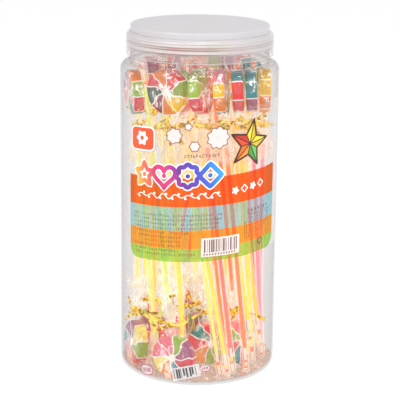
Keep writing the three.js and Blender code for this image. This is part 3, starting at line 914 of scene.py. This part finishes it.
def wedge_colours(name, pose):
    """The disc's wedge colours, and how far they are turned about its hub."""
    if name in FRONT_CANDY:
        chosen = FRONT_CANDY[name].split()
    else:
        chosen = list(draw.choice(USUAL_CANDY, WEDGES, replace=False))
    turn = draw.uniform(-0.35, 0.35) + (0 if pose.head_up else math.pi)
    if name in SIDE_BANDS:
        bands = SIDE_BANDS[name].split()
        seen_right = pose.y[1] < 0
        chosen = bands + chosen[4:] if seen_right else chosen[:4] + bands[::-1]
        turn = (SIDE_TURN if seen_right else -SIDE_TURN) + math.pi / WEDGES
    return [CANDY[c] for c in chosen], turn - math.pi / WEDGES


def make_lollipops():
    heaps = {name: Heap() for name in LOLLIPOP_PIECES}
    for k, name in enumerate(LOLLIPOPS):
        pose = Pose(name)
        seed = 100 + 7 * k
        way = "up" if pose.head_up else "down"
        heaps["candy_discs"].add(*candy(pose, *wedge_colours(name, pose)))
        heaps["wrapper_film_" + way].add(*wrapper(pose, seed))
        heaps["wrapper_skirts_" + way].add(*skirt(pose, seed))
        for part in tie(pose, seed):
            heaps["twist_ties"].add_mixed(*part)
        heaps["stick_tubes"].add_mixed(*rod(pose, WHITE, DISC_RADIUS - 4, pose.stick, STICK_RADIUS, 20))
        end = pose.stick - CLEAR_TIP * draw.uniform(0.85, 1.15)
        cores = heaps["stick_cores"]
        cores.add_mixed(*rod(pose, core_colour(name, k), CORE_FROM, end, CORE_RADIUS, 14, False))
        cores.add_mixed(*rod(pose, TIP_FILL, end + 0.3, pose.stick - 2, TIP_FILL_RADIUS, 14))
        for _ in range(BEADS):
            low = pose.stick - draw.uniform(3.5, CLEAR_TIP - 5)
            tone = CORE[draw.choice(BEAD_CORES)]
            bead = rod(pose, tone, low - BEAD_HALF, low + BEAD_HALF, BEAD_RADIUS, 8, False)
            heaps["tip_beads"].add_mixed(*bead)
    for name, (material, sharp, weld) in LOLLIPOP_PIECES.items():
        mesh_piece(name, heaps[name], material, "candy", sharp=sharp, weld=weld)


# What lies against the inside of the wall. Places are degrees about the axis from the front, and heights.
STICKERS = [(-8, 11.6, 11, 23, 10.5)]
NECK_BARS = [(-27, 255, 17, 2.4), (-28, 251.2, 14, 1.6)]
FILM_MARKS = [(-40.5, 8.2, 5.2), (6, 15.5, 3.4)]
TIE_ENDS = [
    (2.6, [(-44, 56), (-29, 42)]),
    (2.2, [(-40, 58), (-26, 45)]),
    (2.2, [(-73, 40), (-56, 50), (-45, 54)]),
    (2.0, [(-38, 56), (-29, 58)]),
    (2.4, [(-61, 53), (-54, 57)]),
    (2.2, [(-29, 70), (-28, 64)]),
    (2.4, [(-21, 73), (-16, 75)]),
    (2.0, [(-22, 51), (-17, 50), (-12, 51), (-7, 54)]),
    (1.8, [(-12, 51), (-8, 57)]),
    (2.2, [(-4, 57), (0, 59), (3, 60)]),
    (2.6, [(28, 62), (32, 63)]),
    (3.2, [(-32, 206), (-26, 211), (-20, 216)]),
    (2.0, [(-26, 206), (-22, 199), (-20, 191)]),
    (1.6, [(-21, 227), (-18, 219)]),
    (2.8, [(-4, 212), (-1, 209), (3, 211)]),
    (2.6, [(12, 211), (19, 213)]),
    (2.4, [(31, 211), (37, 211), (42, 212)]),
    (2.0, [(49, 212), (58, 212)]),
]


def on_inside(turn, z):
    """Where a place on the wall is as print: turn is in degrees about the axis, and z is its height."""
    along = math.radians(turn) * LABEL_RADIUS
    return along, z - math.tan(math.radians(LABEL_RISE_DEGREES)) * along


def turned_box(turn, z, tilt, left, low, right, high):
    """A box's outline about a place on the wall, tilted by that many degrees."""
    x, y = on_inside(turn, z)
    c, s = math.cos(math.radians(tilt)), math.sin(math.radians(tilt))
    return [(x + c * a - s * b, y + s * a + c * b) for a, b in rounded_box(left, low, right, high)]


def bars(heap, own, turn, z, tilt, width, height, radius):
    """A row of upright bars of uneven width, with a few shorter ones."""
    x = -width / 2
    while x < width / 2 - 1:
        bar = own.choice([0.5, 0.9, 1.4])
        low = -height / 2 + (0 if own.random() < 0.75 else 0.2 * height)
        outline = turned_box(turn, z, tilt, x, low, x + bar, height / 2)
        closed_plate(heap, *filled(outline), 2, INK_THICKNESS, linear(84, 76, 80), radius)
        x += bar + own.choice([0.5, 0.9, 1.5])


def make_tie_ends():
    heap = Heap()
    for width, places in TIE_ENDS:
        corners = np.array([on_inside(*place) for place in places])
        share = np.linspace(0, len(corners) - 1, 5 * len(corners))
        line = np.stack([np.interp(share, np.arange(len(corners)), corners[:, k]) for k in (0, 1)], -1)
        line[:, 1] += 0.35 * np.sin(2.5 * share)
        tape = stroke(line, width * (1 + 0.2 * np.sin(3.7 * share)))
        closed_plate(heap, *tape, 0, 0.12, WHITE, INSIDE_JAR)
    mesh_piece("tie_loose_ends", heap, FLAT_FOIL, "candy", sharp=30)


BASE_FILM_LIFT = 0.7
BASE_FILM_THICKNESS = 0.15


def make_base_film():
    """The crumpled film that lies over the jar's base and up into its heel."""
    rows, columns = 30, 160
    radius = np.linspace(0.5, BODY_RADIUS - WALL - 0.5, rows)[:, None]
    angle = round_angles(columns)[None]
    x, y = radius * np.cos(angle), radius * np.sin(angle)
    folds = crinkle(np.stack([x, y, 0 * x], -1) * 0.6, 5.0, 71)
    folds *= 1 - 0.85 * np.clip((radius - 50) / 8, 0, 1)
    raised = PUSH_UP * np.clip((FOOT_INSIDE - radius) / PUSH_UP_SLOPE, 0, 1)
    inner = HEEL_RADIUS - WALL
    past = np.clip(radius - (BODY_RADIUS - HEEL_RADIUS), 0, inner - 0.3)
    heel = inner - np.sqrt(inner ** 2 - past ** 2)
    top = np.stack([x, y, BASE + BASE_FILM_LIFT + raised + heel + folds], -1).reshape(-1, 3)
    quads = grid_faces(rows, columns)
    count = len(top)
    heap = Heap()
    heap.add(np.concatenate([top, top - (0, 0, BASE_FILM_THICKNESS)]), quads[:, ::-1])
    heap.more(quads + count)
    k = np.arange(columns)
    after = (k + 1) % columns
    last = count - columns
    heap.more(np.stack([last + k, last + k + count, last + after + count, last + after], -1))
    heap.more(np.stack([k, after, after + count, k + count], -1))
    mesh_piece("film_scraps", heap, BASE_FILM, "candy")


def make_stickers():
    """Bits of printed film against the wall: bar stickers, and small pink marks."""
    heap = Heap()
    own = np.random.default_rng(77)
    for turn, z, tilt, width, height in STICKERS:
        paper = turned_box(turn, z, tilt, -width / 2, -height / 2, width / 2, height / 2)
        closed_plate(heap, *filled(paper), 0, 0.05, PAPER, INSIDE_JAR)
        bars(heap, own, turn, z, tilt, width - 3, height - 2.6, INSIDE_JAR)
    for turn, z, width, height in NECK_BARS:
        bars(heap, own, turn, z, 0, width, height, NECK_INSIDE)
    for turn, z, size in FILM_MARKS:
        outline = ring_line(*on_inside(turn, z), size, 36, 2, 0.22)
        closed_plate(heap, *filled(outline), 0, INK_THICKNESS, PAPER, INSIDE_JAR)
        closed_plate(heap, *stroke(outline, 0.13 * size, True), 1, INK_THICKNESS, PINK_MARK, INSIDE_JAR)
        for left in (-0.7, -0.25, 0.2, 0.55):
            box = turned_box(turn, z, 8, left * size, -0.3 * size, (left + 0.2) * size, 0.32 * size)
            closed_plate(heap, *filled(box), 1, INK_THICKNESS, PINK_MARK, INSIDE_JAR)
    mesh_piece("film_stickers", heap, INK, "candy", sharp=40)


# ---- label

def on_wall(along, up, radius):
    """World places of print at along and up, in millimetres along the wall and up from the foot."""
    angle = along / LABEL_RADIUS
    z = up + math.tan(math.radians(LABEL_RISE_DEGREES)) * along
    return np.stack([radius * np.sin(angle), -radius * np.cos(angle), z], -1)


def closed_plate(heap, flat, triangles, level, thickness, colour, radius=PRINT_RADIUS):
    """A thin plate bent on the wall from flat triangles. level counts layers out from radius."""
    flat = np.asarray(flat, float)
    triangles = np.asarray(triangles, int)
    low = radius + PLATE_GAP + level * PLATE_STEP
    count = len(flat)
    edges = {}
    for t in triangles:
        for a, b in ((t[0], t[1]), (t[1], t[2]), (t[2], t[0])):
            edges[(a, b)] = True
    sides = [(a, a + count, b + count, b) for a, b in edges if (b, a) not in edges]
    tints = np.asarray(colour, float)
    if tints.ndim == 1:
        tints = np.tile(tints, (len(triangles), 1))
    layers = [on_wall(flat[:, 0], flat[:, 1], r) for r in (low + thickness, low)]
    heap.add(np.concatenate(layers), triangles, tints)
    heap.more(triangles[:, ::-1] + count, tints)
    heap.more(sides, tints.mean(0))


def filled(outline, step=2.5):
    """Triangles that fill an anticlockwise outline, cut every step millimetres so that it can bend."""
    work = bmesh.new()
    work.faces.new([work.verts.new((x, y, 0)) for x, y in outline])
    low = min(p[0] for p in outline)
    high = max(p[0] for p in outline)
    for cut in np.arange(math.floor(low / step) * step + step, high, step):
        everything = work.verts[:] + work.edges[:] + work.faces[:]
        bmesh.ops.bisect_plane(work, geom=everything, plane_co=(cut, 0, 0), plane_no=(1, 0, 0), dist=1e-5)
    bmesh.ops.triangulate(work, faces=work.faces[:])
    bmesh.ops.recalc_face_normals(work, faces=work.faces[:])
    work.normal_update()
    if work.faces[:][0].normal.z < 0:
        bmesh.ops.reverse_faces(work, faces=work.faces[:])
    work.verts.index_update()
    flat = [(v.co.x, v.co.y) for v in work.verts]
    triangles = [tuple(v.index for v in f.verts) for f in work.faces]
    work.free()
    return flat, triangles


def stroke(line, width, closed=False):
    """A strip of that width along a line of points, as flat triangles."""
    line = np.asarray(line, float)
    width = np.broadcast_to(width, len(line))
    ahead = np.roll(line, -1, 0) - np.roll(line, 1, 0) if closed else np.gradient(line, axis=0)
    ahead /= np.maximum(np.linalg.norm(ahead, axis=1, keepdims=True), 1e-9)
    left = np.stack([-ahead[:, 1], ahead[:, 0]], -1) * width[:, None] / 2
    count = len(line)
    triangles = []
    for k in range(count if closed else count - 1):
        after = (k + 1) % count
        triangles += [(k, count + k, count + after), (k, count + after, after)]
    return np.concatenate([line + left, line - left]), triangles


def rounded_box(left, low, right, high, corner=0, steps=8):
    """A box's outline; corner is one radius or four, from the lower left anticlockwise."""
    corners = [corner] * 4 if isinstance(corner, (int, float)) else corner
    places = [(left, low, 180), (right, low, 270), (right, high, 0), (left, high, 90)]
    outline = []
    for (x, y, start), r in zip(places, corners):
        if r == 0:
            outline.append((x, y))
            continue
        cx = x + (r if x == left else -r)
        cy = y + (r if y == low else -r)
        for a in np.radians(np.linspace(start, start + 90, steps + 1)):
            outline.append((cx + r * math.cos(a), cy + r * math.sin(a)))
    return outline


def ring_line(x, y, radius, count=48, wave=0, size=0.0, start=0.0):
    """A closed line round (x, y), with as many waves of that size as asked."""
    a = round_angles(count)
    r = radius * (1 + size * np.cos(wave * a + start))
    return np.stack([x + r * np.cos(a), y + r * np.sin(a)], -1)


def heart_line(x, y, size):
    a = round_angles(56)
    across = 16 * np.sin(a) ** 3
    up = 13 * np.cos(a) - 5 * np.cos(2 * a) - 2 * np.cos(3 * a) - np.cos(4 * a)
    return np.stack([x + across / 16 * size, y + up / 16 * size], -1)[::-1]


def star_line(x, y, outer, inner, turn=90):
    """The corners of a five-pointed star, from the point that lies at turn degrees."""
    corners = []
    for k in range(10):
        a = math.radians(turn + 36 * k)
        r = outer if k % 2 == 0 else inner
        corners.append((x + r * math.cos(a), y + r * math.sin(a)))
    return corners


def dense(corners):
    """A closed line through corners, with points about every 0.8 mm."""
    corners = np.asarray(corners, float)
    line = []
    for a, b in zip(corners, np.roll(corners, -1, 0)):
        count = max(2, int(np.linalg.norm(b - a) / 0.8))
        line += [a + (b - a) * k / count for k in range(count)]
    return np.array(line)


def printed(heap, flat, triangles, level, colour):
    """A shape of ink. colour is one colour, or a function that gives one for each flat place."""
    if not isinstance(colour, tuple):
        colour = colour(np.asarray(flat)[np.asarray(triangles)].mean(1))
    closed_plate(heap, flat, triangles, level, INK_THICKNESS, colour)


def shape(heap, outline, level, colour):
    printed(heap, *filled(outline, 2.0), level, colour)


def line_shape(heap, line, width, level, colour, closed=True):
    printed(heap, *stroke(line, width, closed), level, colour)


BAND_COLOURS = [linear(244, 116, 44), linear(180, 222, 230), linear(246, 178, 72), linear(182, 224, 118)]


def print_bands():
    heap = Heap()
    for k, colour in enumerate(BAND_COLOURS):
        corners = [BAND_CORNER, BAND_CORNER, 0, 0] if k == len(BAND_COLOURS) - 1 else 0
        outline = rounded_box(BAND_LEFT, BAND_EDGES[k + 1], BAND_RIGHT, BAND_EDGES[k], corners)
        # Light passes both faces of the plate, so each takes the root of the colour.
        closed_plate(heap, *filled(outline), 0, 0.04, np.sqrt(colour))
    mesh_piece("label_bands", heap, BAND_INK, "label", sharp=40)


TITLE_MIDDLE = 171
TITLE_TONES = [
    (-54, linear(240, 190, 70)),
    (-44, linear(236, 120, 70)),
    (-34, linear(214, 50, 110)),
    (-24, linear(222, 60, 130)),
    (-14, linear(110, 50, 150)),
    (-2, linear(90, 70, 190)),
    (8, linear(50, 110, 210)),
    (18, linear(60, 160, 230)),
]


def title_colour(places):
    """The title's colours run along it, and lean a little with height."""
    stops = [s for s, _ in TITLE_TONES]
    tones = np.array([c for _, c in TITLE_TONES])
    at = places[:, 0] + 0.35 * (places[:, 1] - TITLE_MIDDLE)
    return np.stack([np.interp(at, stops, tones[:, k]) for k in range(4)], -1)


def badge(heap):
    orange = linear(236, 84, 36)
    shape(heap, rounded_box(-59.6, 188.9, -34.2, 208.4, 4.5), 1, linear(196, 182, 170))
    shape(heap, rounded_box(-60, 189.6, -34.9, 208.8, 4.5), 2, PAPER)
    shape(heap, rounded_box(-58.8, 190.8, -36.1, 207.6, 3.6), 3, orange)
    shape(heap, ring_line(-47.4, 199.6, 5.2, 60, 6, 0.16), 4, PAPER)
    shape(heap, ring_line(-47.4, 199.6, 1.8, 24), 5, orange)


def title_figures(heap):
    """Four outlined shapes in place of the large title, and a vine below them."""
    lines = [
        dense(star_line(-45, 171.6, 9.6, 4.6)),
        heart_line(-27, 171.5, 9.2),
        ring_line(-8.2, 171.6, 8.2, 64, 8, 0.1),
        dense([(8.8, 162.6), (17.6, 171.2), (8.8, 180.6), (0.4, 171.2)]),
    ]
    for width, level, colour in ((5.6, 1, PAPER), (3.6, 2, title_colour)):
        for line in lines:
            line_shape(heap, line, width, level, colour)
    for x in (-45, -27, -8.2, 8.8):
        shape(heap, ring_line(x, 171.4, 2.7, 28), 1, PAPER)
        shape(heap, ring_line(x, 171.4, 1.8, 24), 2, title_colour)

    def vine(x):
        return 155.6 + 1.5 * np.sin(x * 0.62) * (1 + 0.4 * np.sin(x * 0.17))

    run = np.linspace(-53, 17, 160)
    line_shape(heap, np.stack([run, vine(run)], -1), 0.75, 1, PAPER, closed=False)
    for k, x in enumerate(np.arange(-50.5, 16, 5.07)):
        shape(heap, ring_line(x, vine(x) + (1.9 if k % 2 else -1.9), 0.95, 14), 1, PAPER)


def small_flowers(heap):
    """Four small white marks, filled and outlined in turn, and the pale blossoms above the title."""
    for k, x in enumerate((29, 37, 45.2, 53.4)):
        y = 157.6 + 0.06 * (x - 40)
        if k % 2:
            line_shape(heap, ring_line(x, y, 2.3, 30, 4, 0.22), 0.9, 1, PAPER)
        else:
            shape(heap, ring_line(x, y, 2.6, 30, 5, 0.25, 0.5), 1, PAPER)
    blossoms = [(-19, 202.6, 5.4, 7), (14.6, 199.8, 7.6, 9), (-3.2, 194.2, 3.3, 6), (-8, 209.5, 2.2, 5)]
    for x, y, size, petals in blossoms:
        shape(heap, ring_line(x, y, size + 0.8, 90, petals, 0.09), 1, linear(150, 96, 74))
        shape(heap, ring_line(x, y, size, 90, petals, 0.09), 2, linear(228, 218, 214))
        shape(heap, ring_line(x, y, size * 0.2, 20), 3, linear(240, 214, 200))


def star_figure(heap):
    """A faceted star in four colours, each of its points in a light and a deep tone, with dark outlines."""
    x, y = 41.5, 191.5
    corners = star_line(x, y, 19, 8.2, turn=78)
    yellow = (linear(240, 226, 60), linear(224, 190, 40))
    red = (linear(236, 76, 44), linear(206, 52, 32))
    orange = (linear(244, 150, 56), linear(226, 116, 36))
    green = (linear(110, 196, 96), linear(70, 162, 70))
    tones = [yellow, red, orange, green, yellow]
    line_shape(heap, dense(corners), 1.5, 3, OUTLINE)
    for k, corner in enumerate(corners):
        deep = k % 2
        shape(heap, [(x, y), corner, corners[(k + 1) % 10]], 2, tones[(k + deep) // 2 % 5][deep])
        line_shape(heap, np.linspace((x, y), corner, 24), 0.8, 3, OUTLINE, closed=False)


def bar_panel(heap):
    """A panel of bars of random width above a row of dashes, and a small ring beside it."""
    shape(heap, rounded_box(2.4, 107.2, 33, 122), 1, linear(240, 224, 217))
    own = np.random.default_rng(5)
    x = 4.6
    while x < 30.5:
        width = own.choice([0.35, 0.7, 1.05])
        shape(heap, rounded_box(x, 110.4, x + width, 120.6), 2, linear(96, 60, 60))
        x += width + own.choice([0.45, 0.8, 1.2])
    for x in np.arange(4.2, 30.5, 2.2):
        shape(heap, rounded_box(x, 108.2, x + 1.1, 109.5), 2, linear(120, 84, 80))
    line_shape(heap, ring_line(53.9, 111.8, 2.3, 30), 0.9, 1, linear(70, 84, 50))


def print_figures():
    heap = Heap()
    for figure in (badge, title_figures, small_flowers, star_figure, bar_panel):
        figure(heap)
    mesh_piece("label_figures", heap, INK, "label", sharp=40)


def mark(heap, own, x, y, size, colour):
    """A meaningless mark the size of a printed letter: an upright and two bars across."""
    thick = 0.17 * size
    upright = x + size * own.uniform(0.1, 0.6)
    shape(heap, rounded_box(upright, y, upright + thick, y + size), 1, colour)
    for level in own.choice([0.05, 0.4, 0.75], 2, replace=False):
        low = y + size * level
        start = x + size * own.uniform(0, 0.3)
        end = x + size * own.uniform(0.6, 0.85)
        shape(heap, rounded_box(start, low, end, low + thick), 1, colour)


# Rows of fine print: how high, and from where to where along the wall
MARK_ROWS = [
    (139.3, -56.5, 19), (135.9, -56.5, 19), (132.5, -56.5, 17), (129.1, -56.5, 15), (125.6, -56, -5),
    (122.2, -56, -12), (118.8, -45, -13), (115.4, -56, -12), (111.6, -55.5, -16), (108.2, -55.5, -2),
    (134.6, 40, 66), (131.6, 40, 66), (128.8, 37, 66), (126, 37, 66), (123.2, 37, 62), (120.4, 37, 60),
    (117.6, 37, 48),
]


def print_marks():
    """Rows of small meaningless marks where the fine print is."""
    heap = Heap()
    own = np.random.default_rng(9)
    dark = linear(96, 66, 58)
    for up, start, end in MARK_ROWS:
        for along in np.arange(start, end - 1.6, 2.15):
            if own.random() < 0.93:
                mark(heap, own, along, up, 1.75, dark)
    for along in np.arange(-11.5, 14, 2.3):
        mark(heap, own, along, 185.4, 2.6, linear(130, 100, 84))
    for along in np.arange(40, 62, 3.4):
        mark(heap, own, along, 137.4, 2.9, dark)
    mesh_piece("label_small_print", heap, SMALL_INK, "label", sharp=40)


def label_sheet():
    """The clear film that carries the print, as one thin closed sheet bent round the jar."""
    along = np.radians(np.linspace(LABEL_FROM_DEGREES, LABEL_TO_DEGREES, 90)) * LABEL_RADIUS
    up = np.linspace(LABEL_LOW, LABEL_HIGH, 8)
    rows, columns = len(along), len(up)
    along, up = np.repeat(along, columns), np.tile(up, rows)
    quads = grid_faces(rows, columns, wrap=False)
    count = rows * columns
    loop = [(r, 0) for r in range(rows)] + [(rows - 1, c) for c in range(1, columns)]
    loop += [(r, columns - 1) for r in range(rows - 2, -1, -1)] + [(0, c) for c in range(columns - 2, 0, -1)]
    edge = [r * columns + c for r, c in loop]
    heap = Heap()
    heap.add(np.concatenate([on_wall(along, up, r) for r in (PRINT_RADIUS, LABEL_RADIUS)]), quads)
    heap.more(quads[:, ::-1] + count)
    heap.more([(a, a + count, b + count, b) for a, b in zip(edge, edge[1:] + edge[:1])])
    mesh_piece("label_film", heap, CLEAR_LABEL, "label", sharp=40)


def make_label():
    label_sheet()
    print_bands()
    print_figures()
    print_marks()


# ---- studio

def link(name, data):
    thing = bpy.data.objects.new(name, data)
    bpy.context.scene.collection.objects.link(thing)
    return thing


def softbox(name, place, width, height, power, mirrored=True):
    """A soft lamp aimed at the jar; not mirrored, it lights the jar but doesn't show in its gloss."""
    lamp = bpy.data.lights.new(name, "AREA")
    lamp.shape = "RECTANGLE"
    lamp.size, lamp.size_y = width, height
    lamp.energy = power
    box = link(name, lamp)
    box.location = place
    box.rotation_euler = (Vector((0, 0, 0.17)) - Vector(place)).to_track_quat("-Z", "Y").to_euler()
    box.visible_glossy = mirrored


def make_studio():
    ground = bpy.data.meshes.new("floor")
    ground.from_pydata([(-4, -4, 0), (4, -4, 0), (4, 4, 0), (-4, 4, 0)], [], [(0, 1, 2, 3)])
    n = Nodes("floor_white")
    matt = n.out("BsdfDiffuse", Color=(0.95, 0.95, 0.95, 1))
    ground.materials.append(n.finish(n.mix(0.88, matt, n.out("Emission", Color=PURE, Strength=1.04))))
    link("floor", ground)

    n = Nodes("studio", world=True)
    seen = n.out("Background", Strength=1.05)
    light = n.out("Background", Color=(0.97, 0.98, 1.0, 1), Strength=0.7)
    bpy.context.scene.world = n.finish(n.mix(n.out("LightPath", take="Is Camera Ray"), light, seen))

    softbox("left_box", (-0.9, -0.9, 0.75), 0.14, 0.8, 6)
    softbox("right_box", (1.0, -0.75, 0.6), 0.12, 0.8, 5, mirrored=False)
    softbox("top_box", (0.1, -0.55, 1.3), 0.5, 0.25, 6)
    softbox("back_box", (0.2, 1.1, 0.9), 0.9, 0.6, 8, mirrored=False)


CAMERA_PLACE = (0, -1106.67, 430.45)
CAMERA_PITCH = 14.906
CAMERA_YAW = 0.065
CAMERA_ROLL = 0.581
FOCAL_PIXELS = 1423.87
PICTURE = 400
SENSOR = 36


def make_camera():
    pitch, yaw, roll = (math.radians(a) for a in (CAMERA_PITCH, CAMERA_YAW, CAMERA_ROLL))
    ahead = Vector((math.sin(yaw) * math.cos(pitch), math.cos(yaw) * math.cos(pitch), -math.sin(pitch)))
    level = Vector((math.cos(yaw), -math.sin(yaw), 0))
    above = level.cross(ahead)
    right = math.cos(roll) * level + math.sin(roll) * above
    up = math.cos(roll) * above - math.sin(roll) * level
    lens = bpy.data.cameras.new("camera")
    lens.sensor_width = SENSOR
    lens.lens = FOCAL_PIXELS / PICTURE * SENSOR
    lens.clip_start, lens.clip_end = 0.05, 20
    camera = link("camera", lens)
    turn = Matrix((right, up, -ahead)).transposed()
    camera.matrix_world = Matrix.Translation(Vector(CAMERA_PLACE) * MM) @ turn.to_4x4()
    bpy.context.scene.camera = camera


def set_up_render():
    scene = bpy.context.scene
    scene.view_settings.view_transform = "Standard"
    scene.cycles.use_denoising = True
    scene.cycles.max_bounces = 10
    scene.cycles.diffuse_bounces = 3
    scene.cycles.glossy_bounces = 3
    scene.cycles.transmission_bounces = 4
    scene.cycles.transparent_max_bounces = 64


make_jar()
make_lid()
make_label()
make_lollipops()
make_base_film()
make_stickers()
make_tie_ends()
make_studio()
make_camera()
set_up_render()
